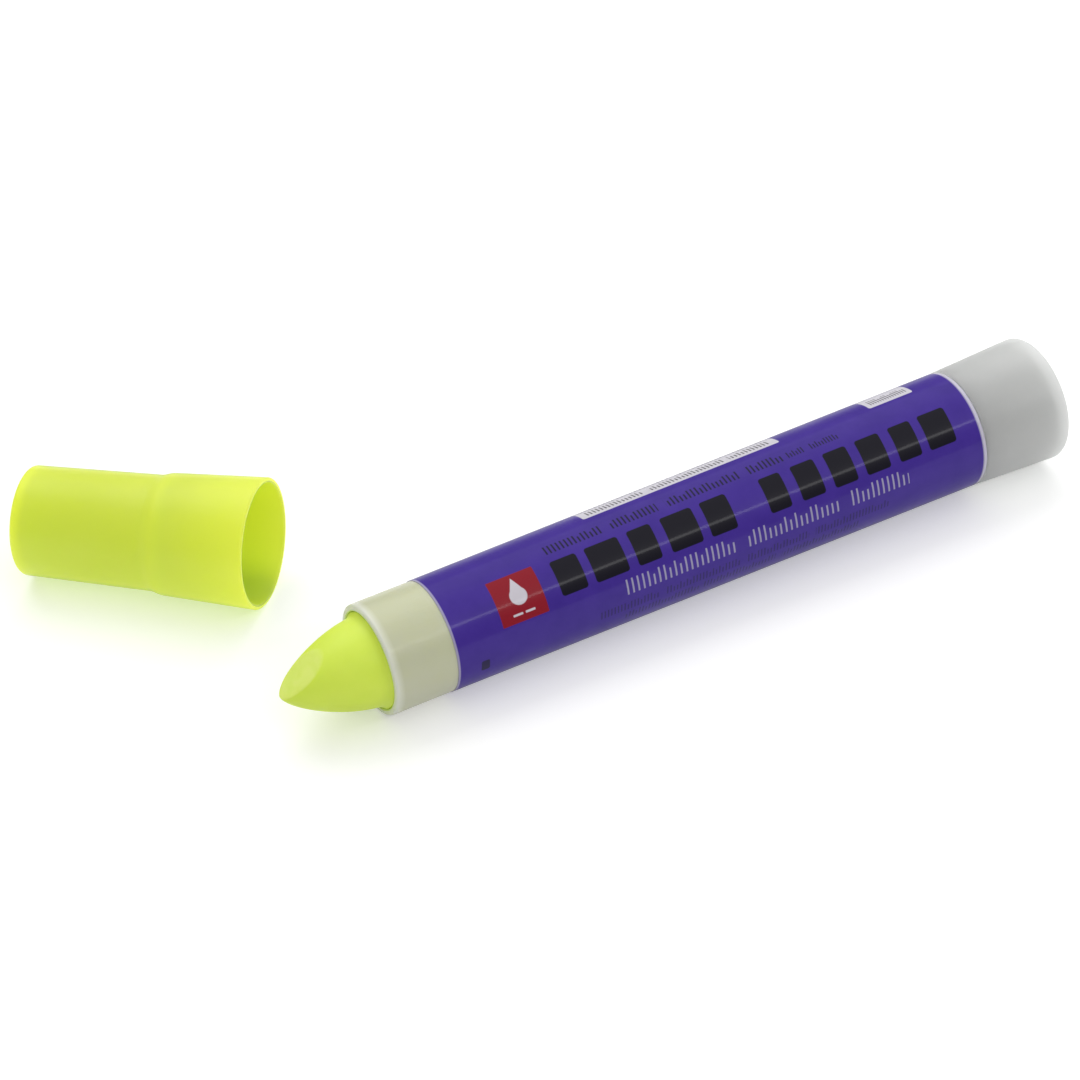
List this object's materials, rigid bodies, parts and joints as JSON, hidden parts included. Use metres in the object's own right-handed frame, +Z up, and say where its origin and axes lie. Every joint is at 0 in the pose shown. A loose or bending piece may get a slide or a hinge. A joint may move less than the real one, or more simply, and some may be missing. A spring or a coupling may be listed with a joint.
{
  "type": "solid paint marker",
  "caption": "Twist-up solid paint marker: film-wrapped translucent barrel, grey twist knob, threaded spindle, keyed carrier, ogive-tipped paint stick and a stepped cap lying beside it.",
  "frame": {"origin": "on the table, in the middle of the footprint of the lying marker and its cap", "axes": "+Z up; the marker lies along X with the paint tip towards -X and the twist knob towards +X; the cap lies on the +Y side"},
  "size_m": [0.1424, 0.0696, 0.0189],
  "materials": {
    "barrel_plastic": "translucent moulded plastic, semi-gloss",
    "label_film": "glossy printed film, violet",
    "knob_plastic": "satin grey moulded plastic",
    "inner_plastic": "plain white moulded plastic",
    "solid_paint": "smooth waxy solid paint, pale yellow-green",
    "cap_plastic": "semi-gloss moulded plastic, yellow-green"
  },
  "bodies": {
    "root": {"barrel": "barrel_plastic", "label": "label_film", "cap": "cap_plastic"},
    "twist": {"knob": "knob_plastic", "spindle": "inner_plastic"},
    "stick": {"carrier": "inner_plastic", "paint_stick": "solid_paint"}
  },
  "joints": [
    {"name": "knob_turn", "type": "hinge", "parent": "root", "child": "twist", "pos_m": [0.05712, -0.02549, 0.0092], "axis": [-0.9999, 0, -0.0112], "range_deg": [-540, 2610]},
    {"name": "stick_slide", "type": "slide", "parent": "root", "child": "stick", "axis": [-0.9999, 0, -0.0112], "range_m": [-0.0121, 0.0581]}
  ],
  "couplings": [
    {"joint": "stick_slide", "follows": "knob_turn", "m_per_rad": 0.0012732}
  ]
}
